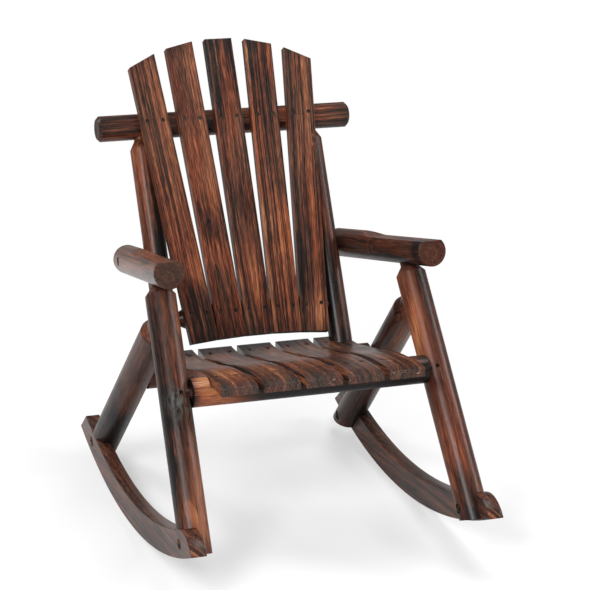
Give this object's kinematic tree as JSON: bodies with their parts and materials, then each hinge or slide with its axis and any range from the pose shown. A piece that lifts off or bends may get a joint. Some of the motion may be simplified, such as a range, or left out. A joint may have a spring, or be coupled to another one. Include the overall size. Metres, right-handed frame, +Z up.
{
  "type": "rocking adirondack chair",
  "caption": "Reclined outdoor rocking chair of round logs on curved rockers, with flat-topped log armrests, a curved slatted seat and a fanned slat back.",
  "frame": {"origin": "middle of the bounding box's bottom, on the floor under the chair", "axes": "+X to the sitter's left, +Y to the back of the chair, +Z up"},
  "size_m": [0.6702, 0.956, 0.9585],
  "materials": {
    "log_wood": "torched and varnished round logs",
    "sawn_wood": "torched and varnished sawn boards",
    "steel": "dark zinc plated"
  },
  "bodies": {
    "root": {"arm_lag_screws": "steel", "arm_lag_washers": "steel", "back_slat_1": "sawn_wood", "back_slat_2": "sawn_wood", "back_slat_3": "sawn_wood", "back_slat_4": "sawn_wood", "back_slat_5": "sawn_wood", "left_armrest": "log_wood", "left_back_post": "log_wood", "left_front_leg": "log_wood", "left_rear_leg": "log_wood", "left_rocker": "sawn_wood", "leg_brace_lag_screws": "steel", "lower_back_rail": "log_wood", "post_lag_screws": "steel", "post_lag_washers": "steel", "rail_pin_screws": "steel", "right_armrest": "log_wood", "right_back_post": "log_wood", "right_front_leg": "log_wood", "right_rear_leg": "log_wood", "right_rocker": "sawn_wood", "rocker_bolt_nuts": "steel", "rocker_bolt_washers": "steel", "rocker_bolts": "steel", "seat_board_1": "sawn_wood", "seat_board_2": "sawn_wood", "seat_board_3": "sawn_wood", "seat_board_4": "sawn_wood", "seat_board_5": "sawn_wood", "seat_front_rail": "log_wood", "seat_rear_rail": "log_wood", "seat_screws": "steel", "slat_screws": "steel", "top_rail": "log_wood"}
  },
  "joints": []
}
